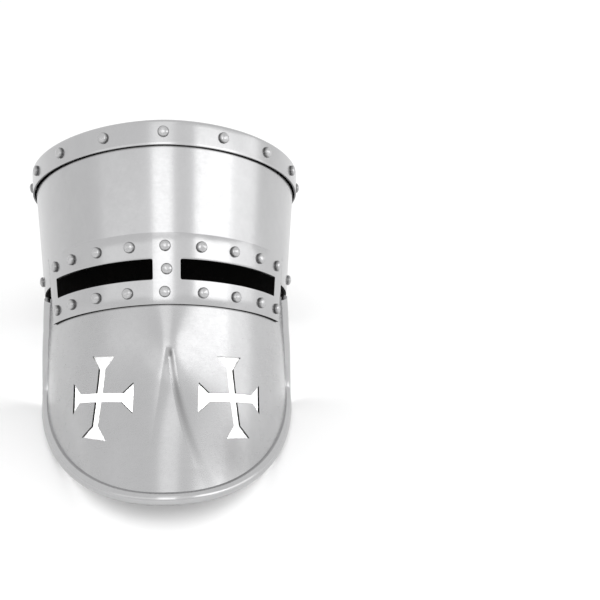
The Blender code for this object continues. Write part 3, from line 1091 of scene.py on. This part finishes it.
# The stage: a plain white floor, soft light from all round, and large soft lamps that lay the broad
# bright bands on the steel. The camera stands about a metre in front and half a metre up, and looks down.
floor_mesh = bpy.data.meshes.new("floor")
floor_bm = bmesh.new()
bmesh.ops.create_grid(floor_bm, x_segments=1, y_segments=1, size=6.0)
floor_bm.to_mesh(floor_mesh)
floor_bm.free()
floor = bpy.data.objects.new("floor", floor_mesh)
bpy.context.scene.collection.objects.link(floor)
floor_paint = bpy.data.materials.new("floor_paint")
floor_paint.use_nodes = True
floor_shader = floor_paint.node_tree.nodes["Principled BSDF"]
floor_shader.inputs["Base Color"].default_value = (0.97, 0.97, 0.97, 1)
floor_shader.inputs["Roughness"].default_value = 0.9
floor_shader.inputs["Specular IOR Level"].default_value = 0.1
floor_mesh.materials.append(floor_paint)

world = bpy.data.worlds.new("studio")
bpy.context.scene.world = world
world.use_nodes = True
world.node_tree.nodes["Background"].inputs["Color"].default_value = (1, 1, 1, 1)
world.node_tree.nodes["Background"].inputs["Strength"].default_value = 1.03
bpy.context.scene.view_settings.view_transform = "Standard"

lamp_distance = 2.2
lamp_aim = Vector((0, 0, 0.12))


def soft_lamp(name, turn, rise, roll, width, height, brightness):
    """A flat soft lamp that faces the helm, from a turn to the right and a rise above the floor."""
    data = bpy.data.lights.new(name, "AREA")
    data.shape = "RECTANGLE"
    data.size = width
    data.size_y = height
    data.energy = brightness * math.pi * width * height
    lamp = bpy.data.objects.new(name, data)
    bpy.context.scene.collection.objects.link(lamp)
    turn = math.radians(turn)
    rise = math.radians(rise)
    out = Vector((math.sin(turn) * math.cos(rise), -math.cos(turn) * math.cos(rise), math.sin(rise)))
    lamp.location = lamp_aim + out * lamp_distance
    lamp.rotation_mode = "QUATERNION"
    lamp.rotation_quaternion = out.to_track_quat("Z", "Y") @ Quaternion((0, 0, 1), math.radians(roll))
    lamp.visible_camera = False


soft_lamp("middle_strip", turn=-6, rise=34, roll=0, width=1.25, height=1.08, brightness=1.2)
soft_lamp("high_glow", turn=-5, rise=61, roll=0, width=1.3, height=0.6, brightness=0.5)
soft_lamp("right_gap", turn=28, rise=37, roll=0, width=0.9, height=0.8, brightness=0.17)
soft_lamp("right_near", turn=64, rise=23, roll=-33, width=1.5, height=0.9, brightness=1.35)
soft_lamp("right_far", turn=93, rise=9, roll=-20, width=1.15, height=0.75, brightness=0.75)
soft_lamp("left_glow", turn=-56, rise=23, roll=27, width=2.2, height=0.66, brightness=0.3)

# A small lamp in the hollow faces down and lights the floor there, which shows white through the breaths.
hollow_lamp_place = (0, -0.02, 0.085)
hollow_lamp_width = 0.11
hollow_lamp_depth = 0.10
hollow_lamp_brightness = 7
hollow_lamp_data = bpy.data.lights.new("hollow_lamp", "AREA")
hollow_lamp_data.shape = "RECTANGLE"
hollow_lamp_data.size = hollow_lamp_width
hollow_lamp_data.size_y = hollow_lamp_depth
hollow_lamp_data.energy = hollow_lamp_brightness * math.pi * hollow_lamp_width * hollow_lamp_depth
hollow_lamp = bpy.data.objects.new("hollow_lamp", hollow_lamp_data)
bpy.context.scene.collection.objects.link(hollow_lamp)
hollow_lamp.location = hollow_lamp_place
hollow_lamp.visible_camera = False

# The camera's place and turns are measured in the helm's own axes, as fitted to the photograph.
camera_distance = 1.0453
camera_drop = 0.22
camera_turn = math.radians(6.167)
camera_rise = math.radians(11.541)
camera_roll = math.radians(-1.818)
focal_pixels = 1257.0
picture_pixels = 600
camera_data = bpy.data.cameras.new("camera")
camera_data.sensor_width = 36
camera_data.lens = focal_pixels * camera_data.sensor_width / picture_pixels
camera = bpy.data.objects.new("camera", camera_data)
bpy.context.scene.collection.objects.link(camera)
forward = Vector((
    math.sin(camera_turn) * math.cos(camera_rise),
    math.cos(camera_turn) * math.cos(camera_rise),
    math.sin(camera_rise),
))
level_right = Vector((math.cos(camera_turn), -math.sin(camera_turn), 0))
level_up = level_right.cross(forward)
right = level_right * math.cos(camera_roll) + level_up * math.sin(camera_roll)
up = level_up * math.cos(camera_roll) - level_right * math.sin(camera_roll)
axes = Matrix((right, up, -forward)).transposed().to_4x4()
camera.matrix_world = helm_place @ Matrix.Translation((0, -camera_distance, -camera_drop)) @ axes
bpy.context.scene.camera = camera

bpy.context.view_layer.update()
